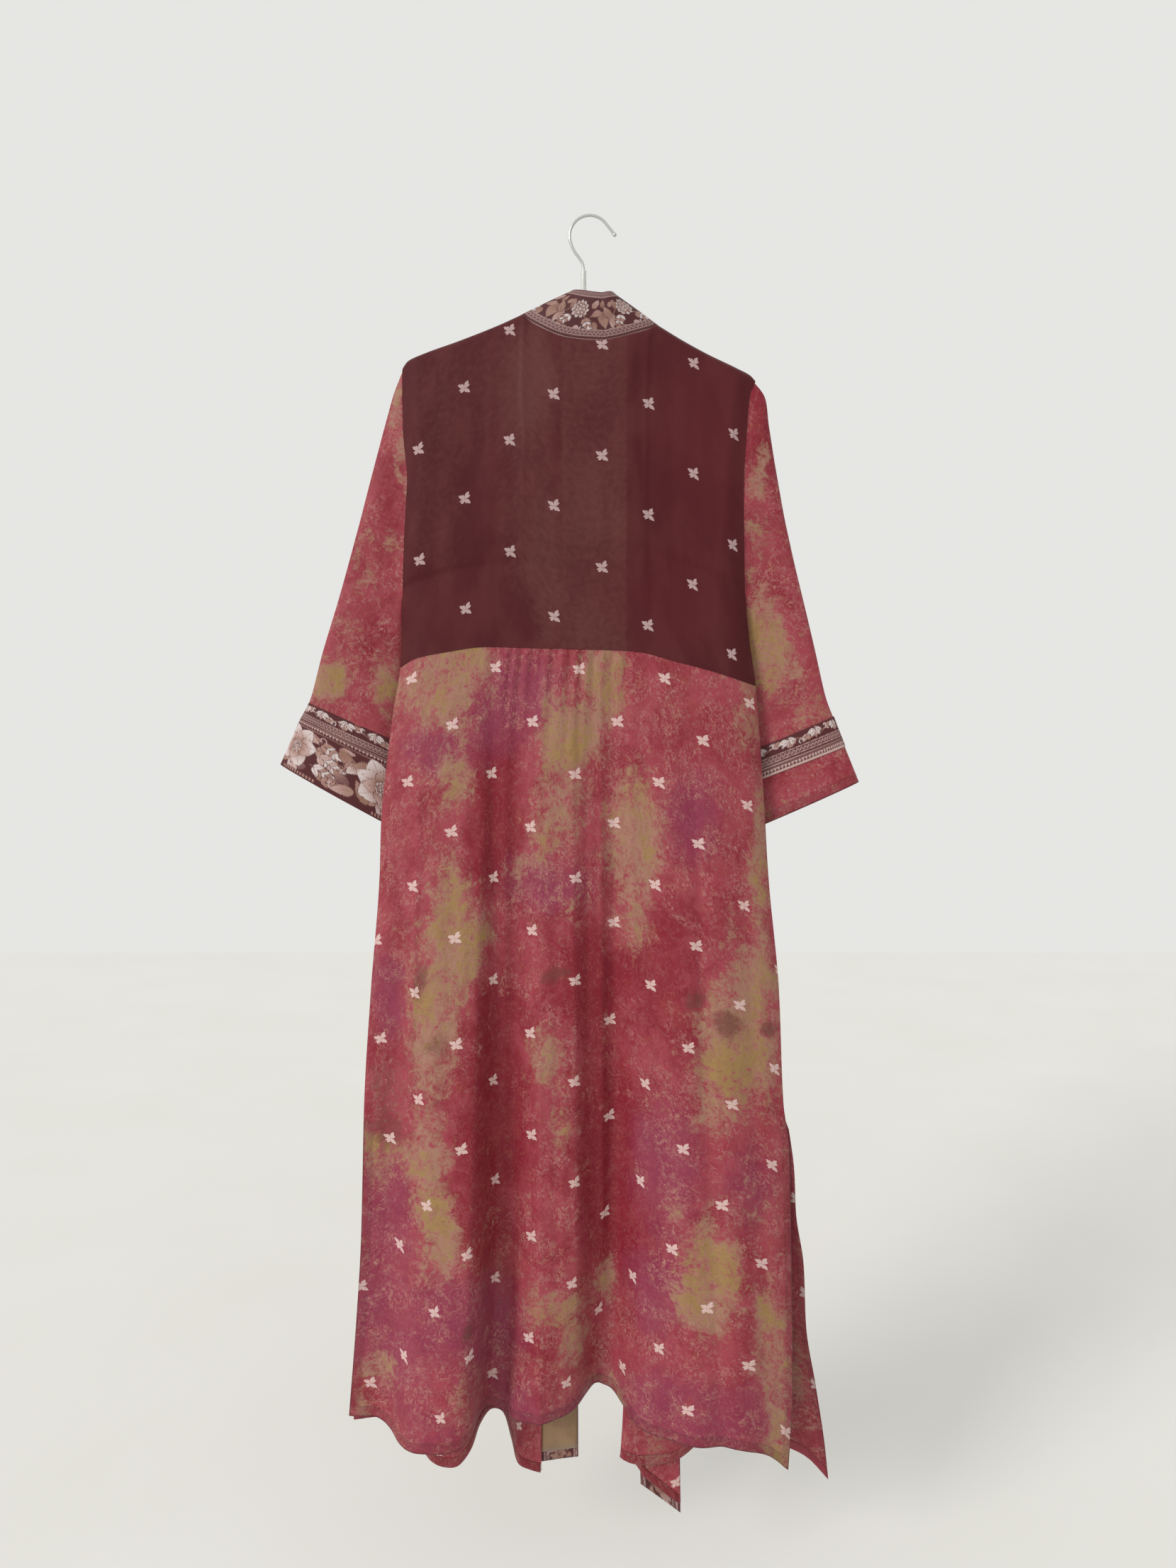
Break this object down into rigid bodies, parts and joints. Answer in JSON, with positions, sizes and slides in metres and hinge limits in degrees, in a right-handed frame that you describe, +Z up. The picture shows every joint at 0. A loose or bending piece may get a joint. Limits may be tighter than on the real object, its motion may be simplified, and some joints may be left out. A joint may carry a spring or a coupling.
{
  "type": "kimono robe on clothes hanger",
  "caption": "Long open silk robe of kimono cut, seen from its back: plain yoke, gathered slit skirt, wide sleeves, woven neck band, hanging on a wire-hooked hanger.",
  "frame": {"origin": "top inside of the hanger hook's crook, where a rail carries it", "axes": "+Z up, +X to the wearer's right, +Y from the robe's back to its front"},
  "size_m": [0.7031, 0.1248, 1.5993],
  "materials": {
    "yoke_silk": "thin dark maroon silk with woven sprigs",
    "dyed_silk": "tie-dyed raspberry and olive silk with a soft sheen",
    "brocade": "maroon brocade with rose and silver-beige flowers",
    "facing_silk": "plain olive-brown silk",
    "hook_steel": "satin",
    "clear_plastic": "pale, clear"
  },
  "bodies": {
    "root": {"back_yoke": "yoke_silk", "back_skirt": "dyed_silk", "front_left": "dyed_silk", "front_right": "dyed_silk", "sleeve_left": "dyed_silk", "sleeve_right": "dyed_silk", "cuff_left": "brocade", "cuff_right": "dyed_silk", "trim_right": "brocade", "collar_left": "brocade", "collar_right": "brocade", "band_left": "brocade", "band_right": "brocade", "facing_left": "facing_silk", "facing_right": "dyed_silk", "hanger_hook": "hook_steel", "hanger_body": "clear_plastic"}
  },
  "joints": []
}
